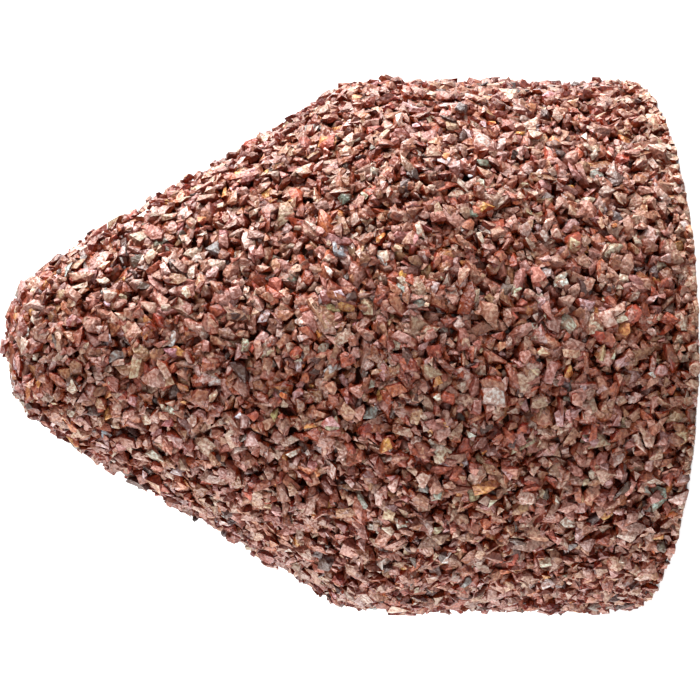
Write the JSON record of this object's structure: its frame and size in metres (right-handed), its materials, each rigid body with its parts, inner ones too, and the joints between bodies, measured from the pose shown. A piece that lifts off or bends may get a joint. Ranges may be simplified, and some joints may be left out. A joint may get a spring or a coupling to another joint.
{
  "type": "abrasive cap",
  "caption": "Thimble-shaped seamless sanding cap with a conical round nose and an open foot, coated all over its outside with coarse brown grain, that slips over a soft holder.",
  "frame": {"origin": "middle of the open rim, in the plane that the cut rim lies in", "axes": "+Z along the cap's axis, from the open rim towards the nose"},
  "size_m": [0.013, 0.013, 0.0158],
  "materials": {
    "grain": "coarse reddish brown aluminium oxide grain in dark resin, on stiff resin-filled cloth"
  },
  "bodies": {
    "root": {"abrasive_cap": "grain"}
  },
  "joints": []
}
